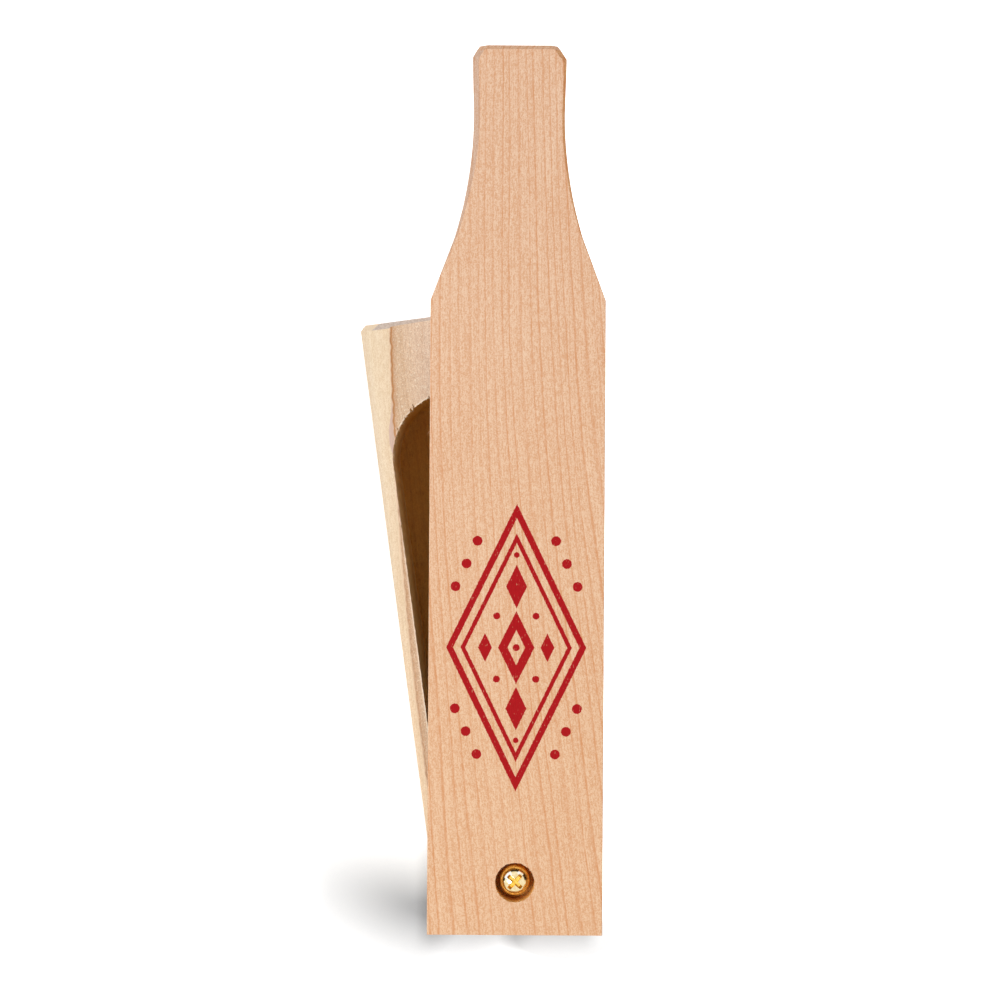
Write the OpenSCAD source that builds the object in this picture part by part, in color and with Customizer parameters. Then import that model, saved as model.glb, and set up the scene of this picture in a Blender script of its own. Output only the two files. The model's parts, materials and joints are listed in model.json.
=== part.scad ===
// Friction bird call: a one piece hollow sound box under a paddle lid on a sprung wood screw.
// Lengths are in millimetres. +Z is up and +Y runs along the box towards the paddle's handle.
// The origin is the centre of the box's flat bottom face.

/* [Sound box] */
// Length of the box along Y
box_l = 175.6; // [150:0.2:200]
// Width of the box across both side boards
box_w = 47.6; // [42:0.2:50]
// Height of the box at the highest point of its lips
box_h = 44.5; // [36:0.5:56]
// Thickness of a side board beside the chamber
wall_t = 4.5; // [3.6:0.1:5.5]
// Thickness of the wood left under the chamber
floor_t = 6.4; // [4:0.2:10]
// Length of the solid block at the front end
front_block_l = 22.5; // [18:0.5:32]
// Length of the solid block at the hinge end
hinge_block_l = 26; // [24:0.5:36]
// Size of the 45 degree clip on the four upright corners
corner_clip = 1.6; // [0.5:0.1:2.4]
// Size of the chamfer along the top edge of both ends
end_chamfer = 1.8; // [0.5:0.1:2.4]
// Size of the eased edge round the bottom face
bottom_ease = 0.8; // [0.3:0.1:1.5]

/* [Lips] */
// Width of a lip's top at its narrowest, near the hinge end
lip_thin_w = 1.9; // [0.8:0.1:2.4]
// Width of a lip's top at the front end, its outer bevel included
lip_front_w = 8.6; // [6:0.1:12]
// Distance from the screw to where the lips are highest and thinnest
lip_peak_from_pivot = 40; // [30:1:60]
// How far the lips drop from their highest point to the front end
arch_drop = 2.4; // [1:0.1:4]
// Depth of the relieved surface between the lips
relief_depth = 0.6; // [0.4:0.1:3]
// Sideways run of the sloping shoulder between a lip and the relieved surface
shoulder_run = 0.3; // [0.2:0.1:1]
// Width of the outer bevel on a lip at the front end
bevel_front_w = 2.6; // [1:0.1:4]
// Length over which the outer bevel runs out towards the hinge end
bevel_l = 100; // [60:1:120]
// Slope of the outer bevel below level, in degrees
bevel_angle = 32; // [20:1:45]

/* [Paddle] */
// Length of the paddle from its tail to the end of the handle
paddle_l = 254; // [220:1:300]
// Width of the paddle over the box
paddle_w = 50; // [46:0.5:60]
// Thickness of the paddle along its middle
paddle_t = 16; // [14:0.5:20]
// Radius of the crowned underside
crown_r = 125; // [90:1:200]
// Distance from the paddle's tail to the screw
tail_l = 15; // [12:0.5:20]
// Length of the handle and its flare, from the handle's end to the shoulders
handle_l = 73; // [64:1:90]
// Length of the straight grip before the flare begins
grip_l = 20; // [14:1:30]
// Width of the grip where it is narrowest
neck_w = 26; // [22:0.5:30]
// Width of the grip just behind its clipped corners
grip_w = 26.9; // [24:0.1:31]
// Width of the handle's flat end
end_w = 22.2; // [18:0.2:23]
// Length of the clipped corners at the handle's end
clip_l = 3.8; // [2:0.1:6]
// Width of the chamfer along the grip's top edges
grip_chamfer = 1.6; // [0.6:0.1:2.4]
// Width of the eased top edge round the rest of the paddle
paddle_ease = 0.5; // [0.2:0.1:1]
// Angle that the paddle is swung from the closed position, in degrees
rest_swing = 7.9; // [0:0.1:20]

/* [Screw and spring] */
// Distance from the hinge end of the box to the screw
pivot_from_end = 11; // [9:0.5:13]
// Diameter of the screw's smooth shank
shank_d = 3.5; // [3:0.1:4]
// Diameter of the screw at the bottom of its thread
root_d = 2.5; // [2:0.1:2.8]
// Distance between neighbouring turns of the thread
thread_pitch = 1.41; // [1.2:0.01:2]
// Length of the screw under its head
screw_l = 32; // [28:0.5:38]
// Length of the smooth shank under the head
shank_l = 14.5; // [13:0.5:18]
// Diameter of the screw's head
head_d = 6.8; // [6.4:0.1:7.2]
// Height of the screw's head
head_h = 2.3; // [1.8:0.1:3]
// Depth of the head's top below the paddle's top
head_sunk = 1; // [0.4:0.1:1.6]
// Diameter of the clearance hole through the paddle
paddle_hole_d = 4.8; // [4.6:0.1:5.2]
// Diameter of the counterbore in the paddle
counterbore_d = 11.1; // [10:0.1:14]
// Depth of the counterbore
counterbore_depth = 10.5; // [9.5:0.5:12]
// Diameter of the spring's wire
wire_d = 1.1; // [0.8:0.1:1.2]
// Outside diameter of the spring
spring_d = 8.5; // [8:0.1:9]
// Number of turns in the spring
spring_turns = 3.5; // [2.5:0.5:3.5]
// Direction of the wire's upper end seen from above, in degrees from +X
spring_end_angle = 82; // [0:1:359]

/* [Clearances] */
// Running gap between the paddle's crown and the highest part of the box
lid_gap = 0.25; // [0.15:0.05:0.4]
// Gap left at each seat of the spring
seat_gap = 0.08; // [0.05:0.01:0.15]
// Radial gap round the shank where it enters the box
shank_gap = 0.05; // [0.03:0.01:0.1]

/* [Hidden] */

// Overrun of every cut past the surface that it opens
cut = 2;
// Facets of the large arcs and of ordinary round work
arc_fn = 1440;
round_fn = 96;
// Turn that keeps the large arcs' seams away from the box
arc_seam_angle = 90;

// Places along the box
hinge_y = -box_l / 2;
front_y = box_l / 2;
pivot_y = hinge_y + pivot_from_end;
peak_y = pivot_y + lip_peak_from_pivot;
front_run = front_y - peak_y;

// Sound chamber
chamber_r = box_w / 2 - wall_t;
chamber_front_y = front_y - front_block_l - chamber_r;
chamber_hinge_y = hinge_y + hinge_block_l + chamber_r;

// Arcs of the lips, from their run to the front end and how much they fall or close in
lip_sag = lip_front_w - lip_thin_w - arch_drop * shoulder_run / relief_depth;
lip_arc_r = (front_run * front_run + lip_sag * lip_sag) / (2 * lip_sag);
lip_mid_half_w = box_w / 2 - lip_thin_w;
arch_r = (front_run * front_run + arch_drop * arch_drop) / (2 * arch_drop);
front_top_z = box_h - arch_drop;
hinge_run = peak_y - hinge_y;
hinge_top_z = box_h - arch_r + sqrt(arch_r * arch_r - hinge_run * hinge_run);

// Levels of the paddle and what stands in it
paddle_z = box_h + lid_gap;
paddle_top_z = paddle_z + paddle_t;
head_top_z = paddle_top_z - head_sunk;
head_seat_z = head_top_z - head_h;
counterbore_z = paddle_top_z - counterbore_depth;

// Handle outline
shoulder_rise = (paddle_w - neck_w) / 2;
straight_share = 0.66;
flare_steps = 14;
chamfer_fade_share = 0.5;

// Screw head and its cross recess
head_edge_h = 0.6 * head_h;
recess_w = 0.16 * head_d;
recess_reach = 0.31 * head_d;
recess_depth = 0.6 * head_h;
recess_core_r = 0.13 * head_d;
dome_rise = head_h - head_edge_h;
dome_r = (head_d * head_d / 4 + dome_rise * dome_rise) / (2 * dome_rise);

// Screw thread
point_l = 1.6 * root_d;
point_share = 0.92;
thread_l = screw_l - shank_l - point_l;
thread_slices_a_turn = 10;
thread_corner_angle = 30;
crest_share = 0.16;
foot_share = 0.6;
thread_crest_r = 0.97 * shank_d / 2;
point_r = point_share * root_d / 2;

// Spring
coil_rings = 8;
wire_sides = 6;
coil_r = (spring_d - wire_d) / 2;
// The head bears on the inner flank of the top turn, because its rim lies inside the wire's middle
rim_offset = coil_r - head_d / 2;
top_turn_drop = sqrt(wire_d * wire_d / 4 - min(rim_offset * rim_offset, wire_d * wire_d / 5));
coil_low_z = counterbore_z + wire_d / 2 + seat_gap;
coil_high_z = head_seat_z - top_turn_drop - seat_gap;
coil_pitch = (coil_high_z - coil_low_z) / spring_turns;
coil_points = [
    for (i = [0 : coil_rings * spring_turns])
        let (a = 360 * i / coil_rings)
            [coil_r * cos(a), coil_r * sin(a), coil_low_z + coil_pitch * i / coil_rings]
];
coil_gap = min([
    for (i = [0 : len(coil_points) - 1], j = [0 : len(coil_points) - 1])
        if (j - i > coil_rings / 2) norm(coil_points[j] - coil_points[i]) - wire_d
]);
echo(least_gap_of_spring_to_itself = coil_gap);

// Share of the shoulder's rise at a share t of the flare: a parabola that ends in a straight line
function flare(t) = t < straight_share
    ? t * t
    : let (k = straight_share * straight_share)
        k + (1 - k) * (t - straight_share) / (1 - straight_share);

function blend(a, b, t) = a + (b - a) * t;

// Distances from the handle's end at which the outline turns or bends
stations = concat(
    [0, clip_l],
    [for (i = [0 : flare_steps]) blend(grip_l, handle_l, i / flare_steps)],
    [paddle_l]
);

function half_w(d) =
    d < clip_l ? blend(end_w, grip_w, d / clip_l) / 2
    : d < grip_l ? blend(grip_w, neck_w, (d - clip_l) / (grip_l - clip_l)) / 2
    : d < handle_l ? neck_w / 2 + shoulder_rise * flare((d - grip_l) / (handle_l - grip_l))
    : paddle_w / 2;

// The chamfer is widest along the grip and fades to the plain eased edge in the flare
function edge_cut(d) =
    let (fade_l = (handle_l - grip_l) * chamfer_fade_share)
        blend(grip_chamfer, paddle_ease, min(max(d - grip_l, 0) / fade_l, 1));

function end_inset(d) = d == 0 ? grip_chamfer : d == paddle_l ? -paddle_ease : 0;

// One closed ring of the outline, with y measured from the screw towards the handle
function outline(inset_share, z_low) = concat(
    [for (d = stations) outline_point(d, 1, inset_share, z_low)],
    [for (i = [len(stations) - 1 : -1 : 0]) outline_point(stations[i], -1, inset_share, z_low)]
);

function outline_point(d, side, inset_share, z_low) = [
    side * (half_w(d) - edge_cut(d) * inset_share),
    paddle_l - tail_l - d - end_inset(d) * inset_share,
    z_low ? 0 : inset_share > 0 ? paddle_t : paddle_t - edge_cut(d)
];

// Triangles between ring r and ring r + 1 of a tube, n points each
function band(r, n) = [
    for (i = [0 : n - 1], k = [0, 1])
        let (a = r * n + i, b = r * n + (i + 1) % n)
            k == 0 ? [a, b, b + n] : [a, b + n, a + n]
];

function flip(f) = [f[2], f[1], f[0]];

// Triangles across a ring of the outline, each pair between two neighbouring stations
function outline_cap(first, n) = [
    for (i = [0 : n / 2 - 2], k = [0, 1])
        let (a = first + i, b = first + n - 1 - i)
            k == 0 ? [a, a + 1, b - 1] : [a, b - 1, b]
];

// Solid of the paddle's outline with its top edges chamfered and a flat underside
module paddle_blank() {
    rings = [outline(0, true), outline(0, false), outline(1, false)];
    n = len(rings[0]);
    polyhedron(
        points = [for (ring = rings, p = ring) p],
        faces = concat(
            outline_cap(0, n),
            [for (r = [0, 1], f = band(r, n)) flip(f)],
            [for (f = outline_cap(2 * n, n)) flip(f)]
        )
    );
}

// A solid swept through rings of n points each, given in order
module swept(rings) {
    n = len(rings[0]);
    last = len(rings) - 1;
    polyhedron(
        points = [for (ring = rings, p = ring) p],
        faces = concat(
            [for (i = [1 : n - 2]) [0, i, i + 1]],
            [for (r = [0 : last - 1], f = band(r, n)) flip(f)],
            [for (i = [1 : n - 2]) [last * n, last * n + i + 1, last * n + i]]
        )
    );
}

// Everything under the arched surface that follows the lips, lowered by drop
module under_arch(drop) {
    translate([0, peak_y, box_h - arch_r])
        rotate([0, 90, 0])
            cylinder(r = arch_r - drop, h = box_w + 2 * cut, center = true, $fn = arc_fn);
}

// One side of the relieved area: a cone that is as wide as the lips allow at the level of the box's top
module lip_arc(side) {
    slope = shoulder_run / relief_depth;
    slope_h = arch_drop + relief_depth + cut;
    translate([-side * (lip_arc_r - lip_mid_half_w), peak_y, box_h + cut - slope_h])
        rotate([0, 0, -side * arc_seam_angle])
            cylinder(
                r1 = lip_arc_r + slope * (cut - slope_h),
                r2 = lip_arc_r + slope * cut,
                h = slope_h,
                $fn = arc_fn
            );
}

// The shallow hollow between the lips, from the chamber's round hinge end out through the front
module relief() {
    relief_l = front_y - chamber_hinge_y + chamber_r / 2 + cut;
    difference() {
        intersection() {
            lip_arc(1);
            lip_arc(-1);
            translate([-box_w / 2, front_y + cut - relief_l, front_top_z - relief_depth - cut])
                cube([box_w, relief_l, box_h]);
        }
        under_arch(relief_depth);
    }
}

// The routed sound chamber with its two round ends
module chamber() {
    chamber_h = box_h - floor_t + cut;
    translate([0, 0, floor_t]) {
        translate([0, chamber_front_y, 0])
            cylinder(r = chamber_r, h = chamber_h, $fn = round_fn);
        translate([0, chamber_hinge_y, 0])
            cylinder(r = chamber_r, h = chamber_h, $fn = round_fn);
        translate([-chamber_r, chamber_hinge_y, 0])
            cube([2 * chamber_r, chamber_front_y - chamber_hinge_y, chamber_h]);
    }
}

// Outline of the box seen from above, with clipped corners
module box_outline(inset) {
    x = box_w / 2 - inset;
    y = box_l / 2 - inset;
    c = corner_clip;
    polygon([
        [x - c, y], [x, y - c], [x, c - y], [x - c, -y],
        [c - x, -y], [-x, c - y], [-x, y - c], [c - x, y]
    ]);
}

// Everything under the bevel on one side: a cone about the arch's axis, turned a little so that
// the bevel narrows towards the hinge end and runs out
module under_bevel() {
    slope = tan(bevel_angle);
    translate([box_w / 2 - bevel_front_w, front_y, box_h - arch_r])
        rotate([0, 0, atan(bevel_front_w / bevel_l)])
            translate([0, -front_run, 0])
                rotate([0, 90, 0])
                    cylinder(
                        r1 = arch_r + 2 * box_w * slope,
                        r2 = arch_r - 2 * box_w * slope,
                        h = 4 * box_w,
                        center = true,
                        $fn = arc_fn
                    );
}

// A triangle that takes a 45 degree chamfer off a corner at the origin: out is the side that the
// end or side face looks to, and up is 1 for a top edge and -1 for a bottom edge
module corner_cut(size, out, up) {
    polygon([
        [-out * (size + cut), up * cut],
        [out * cut, -up * (size + cut)],
        [out * cut, up * cut]
    ]);
}

// The chamfer along an edge that runs across the box, at the height z of the front or hinge end
module end_edge_cut(side, z, size, up) {
    translate([0, side * box_l / 2, z])
        rotate([90, 0, 90])
            linear_extrude(height = box_w + 2 * cut, center = true)
                corner_cut(size, side, up);
}

// The eased bottom edge of a side face
module side_edge_cut(side) {
    translate([side * box_w / 2, 0, 0])
        rotate([90, 0, 0])
            linear_extrude(height = box_l + 2 * cut, center = true)
                corner_cut(bottom_ease, side, -1);
}

module sound_box() {
    color([0.95, 0.87, 0.74])
        difference() {
            intersection() {
                linear_extrude(height = box_h + cut)
                    box_outline(0);
                under_arch(0);
                under_bevel();
                mirror([1, 0, 0])
                    under_bevel();
            }
            relief();
            chamber();
            end_edge_cut(1, front_top_z, end_chamfer, 1);
            end_edge_cut(-1, hinge_top_z, end_chamfer, 1);
            for (side = [-1, 1]) {
                end_edge_cut(side, 0, bottom_ease, -1);
                side_edge_cut(side);
            }
            translate([0, pivot_y, head_seat_z - screw_l])
                cylinder(d = root_d, h = screw_l, $fn = round_fn);
            translate([0, pivot_y, head_seat_z - shank_l])
                cylinder(d = shank_d + 2 * shank_gap, h = shank_l, $fn = round_fn);
        }
}

module paddle() {
    color([0.92, 0.75, 0.62])
        translate([0, pivot_y, paddle_z])
            rotate([0, 0, -rest_swing])
                difference() {
                    intersection() {
                        paddle_blank();
                        translate([0, paddle_l / 2 - tail_l, crown_r])
                            rotate([90, 0, 0])
                                cylinder(r = crown_r, h = paddle_l + 2 * cut, center = true, $fn = arc_fn);
                    }
                    translate([0, 0, -cut])
                        cylinder(d = paddle_hole_d, h = paddle_t + 2 * cut, $fn = round_fn);
                    translate([0, 0, paddle_t - counterbore_depth])
                        cylinder(d = counterbore_d, h = counterbore_depth + cut, $fn = round_fn);
                }
}

// The domed head, from its flat seat up
module screw_head() {
    difference() {
        intersection() {
            cylinder(d = head_d, h = head_h, $fn = round_fn);
            translate([0, 0, head_h - dome_r])
                sphere(r = dome_r, $fn = round_fn);
        }
        for (a = [45, 135])
            rotate([0, 0, a])
                translate([-recess_reach, -recess_w / 2, head_h - recess_depth])
                    cube([2 * recess_reach, recess_w, head_h]);
        translate([0, 0, head_h - recess_depth])
            cylinder(r = recess_core_r, h = head_h, $fn = round_fn);
    }
}

// Radius of the threaded part across its axis, at an angle a from the middle of the ridge
function thread_r(a) =
    let (flank = (foot_share - abs(a) / 180) / (foot_share - crest_share))
        blend(root_d / 2, thread_crest_r, max(0, min(1, flank)));

// The threaded part: its outline turns once in each pitch and ends inside the shank
module thread() {
    length = thread_l + thread_pitch / 4;
    turns = length / thread_pitch;
    linear_extrude(height = length, twist = -360 * turns, slices = round(turns * thread_slices_a_turn))
        polygon([
            for (a = [-180 : thread_corner_angle : 180 - thread_corner_angle])
                thread_r(a) * [cos(a), sin(a)]
        ]);
}

module pivot_screw() {
    color([0.86, 0.68, 0.28])
        translate([0, pivot_y, head_seat_z]) {
            screw_head();
            translate([0, 0, -shank_l])
                cylinder(d = shank_d, h = shank_l, $fn = round_fn);
            translate([0, 0, -screw_l])
                cylinder(r1 = 0, r2 = point_r, h = point_l + thread_pitch / 4, $fn = round_fn);
            translate([0, 0, -shank_l - thread_l])
                thread();
        }
}

module tension_spring() {
    color([0.72, 0.5, 0.2])
        translate([0, pivot_y, 0])
            rotate([0, 0, spring_end_angle - 360 * spring_turns])
                swept([
                    for (i = [0 : len(coil_points) - 1])
                        let (a = 360 * i / coil_rings, p = coil_points[i])
                            [
                                for (k = [0 : wire_sides - 1])
                                    let (b = 360 * k / wire_sides, r = coil_r + wire_d / 2 * cos(b))
                                        [r * cos(a), r * sin(a), p[2] + wire_d / 2 * sin(b)]
                            ]
                ]);
}

sound_box();
paddle();
pivot_screw();
tension_spring();
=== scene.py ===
"""The looks of a wooden friction bird call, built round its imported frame.

Shapes are worked out in millimetres and turned into metres when a piece is finished. +Z is up and
+Y runs along the box from the hinge end to the paddle's handle.
"""

import json
import random
from math import acos, asin, atan, cos, hypot, pi, radians, sin, sqrt, tan, tau
from random import choice, uniform

import bmesh
import bpy
from mathutils import Matrix, Vector, noise


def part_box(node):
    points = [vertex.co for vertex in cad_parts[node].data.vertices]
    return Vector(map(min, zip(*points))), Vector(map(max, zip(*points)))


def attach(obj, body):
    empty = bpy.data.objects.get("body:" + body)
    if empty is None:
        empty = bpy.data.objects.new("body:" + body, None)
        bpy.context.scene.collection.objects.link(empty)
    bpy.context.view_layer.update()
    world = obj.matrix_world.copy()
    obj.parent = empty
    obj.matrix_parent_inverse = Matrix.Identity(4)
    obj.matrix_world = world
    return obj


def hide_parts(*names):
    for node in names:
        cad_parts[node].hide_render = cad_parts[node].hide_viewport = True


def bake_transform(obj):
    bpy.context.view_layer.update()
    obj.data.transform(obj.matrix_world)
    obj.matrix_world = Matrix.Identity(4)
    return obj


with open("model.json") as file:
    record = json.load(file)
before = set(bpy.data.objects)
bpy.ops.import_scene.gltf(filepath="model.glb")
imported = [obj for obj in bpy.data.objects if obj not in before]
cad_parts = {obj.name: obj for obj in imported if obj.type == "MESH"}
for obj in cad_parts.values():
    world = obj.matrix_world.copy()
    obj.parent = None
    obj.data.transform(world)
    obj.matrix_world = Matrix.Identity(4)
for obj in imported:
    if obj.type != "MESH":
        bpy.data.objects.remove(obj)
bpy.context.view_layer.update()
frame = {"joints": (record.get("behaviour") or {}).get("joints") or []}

MM = 0.001
random.seed(11)


def node_box(name):
    """Lowest and highest corner of a CAD node, in millimetres."""
    low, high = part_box(name)
    return low / MM, high / MM


# Sizes and places that the frame gives
JOINTS = {joint["name"]: joint for joint in frame["joints"]}
PIVOT_Y = JOINTS["paddle_swing"]["pos_m"][1] / MM
BOX_LOW, BOX_HIGH = node_box("sound_box")
SCREW_LOW, SCREW_HIGH = node_box("pivot_screw")
SPRING_LOW, SPRING_HIGH = node_box("tension_spring")
PADDLE_TOP_Z = node_box("paddle")[1].z
HINGE_Y, FRONT_Y = BOX_LOW.y, BOX_HIGH.y
BOX_W = BOX_HIGH.x - BOX_LOW.x
BOX_H = BOX_HIGH.z

# Sound box
WALL_T = 4.5
FLOOR_T = 6.4
FRONT_BLOCK_L = 22.5
HINGE_BLOCK_L = 26.0
CORNER_CLIP = 1.6
END_CHAMFER = 1.8
BOTTOM_EASE = 0.8
CHAMBER_R = BOX_W / 2 - WALL_T
CHAMBER_FRONT_Y = FRONT_Y - FRONT_BLOCK_L - CHAMBER_R
CHAMBER_HINGE_Y = HINGE_Y + HINGE_BLOCK_L + CHAMBER_R
CHAMBER_COVE = 2.0

# Lips of the box
LIP_THIN_W = 1.9
LIP_FRONT_W = 8.6
PEAK_Y = PIVOT_Y + 40
ARCH_DROP = 2.4
SHOULDER_DROP = 0.4
RELIEF_DEPTH = 0.8
SHOULDER_RUN = 0.6
BEVEL_FRONT_W = 2.6
BEVEL_L = 100.0
BEVEL_SLOPE = tan(radians(32))
# A front corner is rubbed smooth beyond the line a * abs(x) + b * y = c
CORNER_RUB = (0.59, 0.81, 0.59 * (BOX_W / 2 - 3.6) + 0.81 * (FRONT_Y - 1.6))
FRONT_RUN = FRONT_Y - PEAK_Y
ARCH_R = (FRONT_RUN**2 + ARCH_DROP**2) / (2 * ARCH_DROP)
LIP_SAG = LIP_FRONT_W - LIP_THIN_W
RELIEF_REAR_Y = CHAMBER_HINGE_Y - CHAMBER_R / 2

# Paddle, measured from the screw towards the handle and from the crown up
PADDLE_L = 254.0
PADDLE_W = 50.0
PADDLE_T = 16.0
CROWN_R = 125.0
TAIL_L = 15.0
HANDLE_L = 73.0
GRIP_L = 20.0
NECK_W = 26.0
GRIP_W = 26.9
END_CHAMFER_PADDLE = 1.4
PADDLE_EASE = 0.2
REST_SWING = radians(7.9)
PADDLE_ORIGIN = (0, PIVOT_Y, PADDLE_TOP_Z - PADDLE_T)
PADDLE_FRAME = {"origin": PADDLE_ORIGIN, "turn": REST_SWING}
# Width and length of the clipped corners, and width of the chamfers, on the left and the right
CORNER_CLIPS = {-1: (2.1, 3.5), 1: (2.7, 4.1)}
GRIP_CHAMFERS = {-1: 1.75, 1: 0.8}
CORNER_CHAMFERS = {-1: 2.2, 1: 1.7}

# Screw and spring
BORE_R = 5.57
BORE_DEPTH = 10.5
HOLE_R = 2.4
HEAD_R = (SCREW_HIGH.x - SCREW_LOW.x) / 2
HEAD_H = 2.3
HEAD_EDGE_H = 0.6 * HEAD_H
DOME_R = (HEAD_R**2 + (HEAD_H - HEAD_EDGE_H) ** 2) / (2 * (HEAD_H - HEAD_EDGE_H))
SEAT_Z = SCREW_HIGH.z - HEAD_H
SHANK_R = 1.75
SHANK_L = 14.5
ROOT_R = 1.25
CREST_R = 1.7
THREAD_PITCH = 1.41
WIRE_R = 0.55
COIL_R = 3.7
COIL_TURNS = 3.5
COIL_END_ANGLE = radians(82)

# The photograph's camera: turned about the vertical, straight above the paddle
CAMERA_TURN = radians(7.553)
CAMERA_ABOVE = 700.0
PIXEL = 0.285
PIVOT_PIXEL = (514.8, 882.7)
FRAME_PIXELS = 1000


# Plain functions


def blend(a, b, t):
    return a + (b - a) * t


def clamp(value, low=0.0, high=1.0):
    return min(max(value, low), high)


def smooth01(t):
    """0 up to 0, 1 from 1 on, and a smooth change between."""
    t = clamp(t)
    return t * t * (3 - 2 * t)


def bump(value, centre, half_width):
    """1 at the centre, falling smoothly to 0 at half_width from it."""
    return smooth01(1 - abs(value - centre) / half_width)


def spaced(start, end, step):
    """Places from start to end, about a step apart, both ends included."""
    count = max(1, round(abs(end - start) / step))
    return [blend(start, end, i / count) for i in range(count + 1)]


def ripple(x, y, size, seed):
    """Smooth noise from about -1 to 1 whose features measure about size."""
    return noise.noise(Vector((x / size, y / size, seed)))


def srgb(red, green, blue):
    """A colour given in the 0 to 255 values of a picture, as linear light."""
    def linear(value):
        value /= 255
        return value / 12.92 if value <= 0.04045 else ((value + 0.055) / 1.055) ** 2.4
    return (linear(red), linear(green), linear(blue), 1.0)


# Mesh tools, all in millimetres


def write_mesh(bm, mesh):
    """Turns the faces of bm outwards and hands them to the mesh."""
    bmesh.ops.recalc_face_normals(bm, faces=bm.faces)
    bm.to_mesh(mesh)
    bm.free()


def placed(name, data):
    """A new object in the scene that shows the data."""
    made = bpy.data.objects.new(name, data)
    bpy.context.scene.collection.objects.link(made)
    return made


def mesh_object(name, bm):
    made = placed(name, bpy.data.meshes.new(name))
    write_mesh(bm, made.data)
    return made


def add_loft(bm, rings):
    """Adds a closed solid through rings that have the same number of points."""
    layers = [[bm.verts.new(point) for point in ring] for ring in rings]
    count = len(rings[0])
    for low, high in zip(layers, layers[1:]):
        for i in range(count):
            k = (i + 1) % count
            bm.faces.new((low[i], low[k], high[k], high[i]))
    bm.faces.new(layers[0][::-1])
    bm.faces.new(layers[-1])


def loft(name, rings):
    bm = bmesh.new()
    add_loft(bm, rings)
    return mesh_object(name, bm)


def circle(centre, radius, count, z):
    x, y = centre
    angles = [tau * i / count for i in range(count)]
    return [(x + radius * cos(a), y + radius * sin(a), z) for a in angles]


def modify(piece, kind, **settings):
    """Gives the piece one modifier and applies it."""
    modifier = piece.modifiers.new(kind, kind)
    for name, value in settings.items():
        setattr(modifier, name, value)
    bpy.context.view_layer.update()
    graph = bpy.context.evaluated_depsgraph_get()
    made = bpy.data.meshes.new_from_object(piece.evaluated_get(graph))
    piece.modifiers.clear()
    old = piece.data
    piece.data = made
    bpy.data.meshes.remove(old)


def cut(piece, cutters):
    """Takes each cutter out of the piece."""
    for cutter in cutters:
        modify(piece, "BOOLEAN", operation="DIFFERENCE", solver="EXACT", object=cutter)
        bpy.data.objects.remove(cutter)


def soften(piece, width, angle):
    """Rounds the edges that are sharper than an angle in degrees by a small width."""
    modify(
        piece, "BEVEL", width=width, segments=2, limit_method="ANGLE",
        angle_limit=radians(angle), use_clamp_overlap=True,
    )


def finish_piece(piece, body, materials, replaced=(), place=None, kind=None, sharp=35):
    """Turns the mesh into metres, gives it its materials and fixes it to its body."""
    mesh = piece.data
    mesh.materials.clear()
    for material in materials:
        mesh.materials.append(material)
    if kind:
        for face in mesh.polygons:
            face.material_index = kind(face.center, face.normal)
    if place:
        mesh.transform(place)
    mesh.transform(Matrix.Scale(MM, 4))
    mesh.shade_smooth()
    mesh.set_sharp_from_angle(angle=radians(sharp))
    # Large faces set the shading, so that a softened edge doesn't shade the flat face beside it
    modify(piece, "WEIGHTED_NORMAL", keep_sharp=True)
    if replaced:
        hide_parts(*replaced)
    if body:
        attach(piece, body)
    return piece


# Materials


WHITE = (1.0, 1.0, 1.0, 1.0)


def feed(socket, value):
    """Links a socket to another one, or gives it a value."""
    if isinstance(value, bpy.types.NodeSocket):
        socket.id_data.links.new(value, socket)
    else:
        socket.default_value = value


def feed_named(node, values):
    """Feeds the inputs that are named in values."""
    for name, value in values.items():
        feed(node.inputs[name], value)


def add_node(tree, kind, *values, **settings):
    """Adds a shader node with its settings, and feeds its inputs in their order."""
    made = tree.nodes.new("ShaderNode" + kind)
    for name, value in settings.items():
        setattr(made, name, value)
    for socket, value in zip(made.inputs, values):
        feed(socket, value)
    return made


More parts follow.
